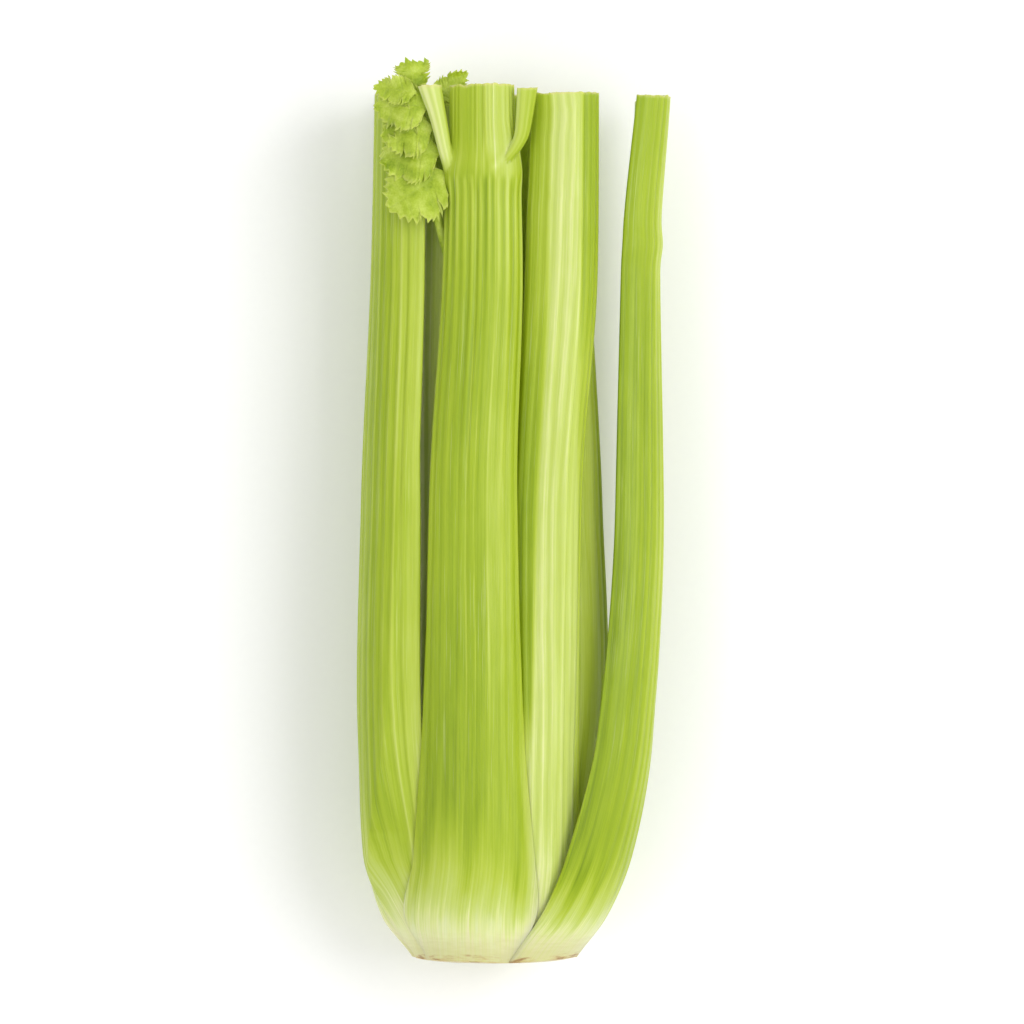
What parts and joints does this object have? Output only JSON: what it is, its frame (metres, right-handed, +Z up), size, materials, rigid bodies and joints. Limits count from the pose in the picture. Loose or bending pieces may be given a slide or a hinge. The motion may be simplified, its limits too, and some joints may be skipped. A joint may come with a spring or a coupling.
{
  "type": "head of celery",
  "caption": "Trimmed head of celery lying on its back: ribbed green stalks nested round a pale heart, cut across at both ends, with one small leafy sprig at the top.",
  "frame": {"origin": "the middle of the head across and along, on the surface that it lies on", "axes": "+Y along the head from the cut root end to the cut tops, +Z up through the front middle stalk, +X towards the thin stalk that stands apart"},
  "size_m": [0.1017, 0.294, 0.075],
  "materials": {
    "green_stalk": "satin",
    "pale_stalk": "satin",
    "inner_stalk": "satin",
    "heart_stalk": "satin",
    "root": "matte",
    "leaf": "satin"
  },
  "bodies": {
    "root": {"stalk_right": "green_stalk", "stalk_back_left": "green_stalk", "stalk_under_right": "green_stalk", "stalk_front_middle": "green_stalk", "stalk_under_left": "green_stalk", "stalk_back_right": "green_stalk", "stalk_left": "green_stalk", "stalk_under_middle": "green_stalk", "stalk_front_pale": "pale_stalk", "inner_stalk_right": "inner_stalk", "inner_stalk_left": "inner_stalk", "inner_stalk_front": "inner_stalk", "inner_stalk_back_right": "inner_stalk", "inner_stalk_under": "inner_stalk", "inner_stalk_back_left": "inner_stalk", "heart_stalk_left": "heart_stalk", "heart_stalk_right": "heart_stalk", "heart_stalk_under": "heart_stalk", "root_core": "root", "leaf_sprig": "leaf"}
  },
  "joints": []
}
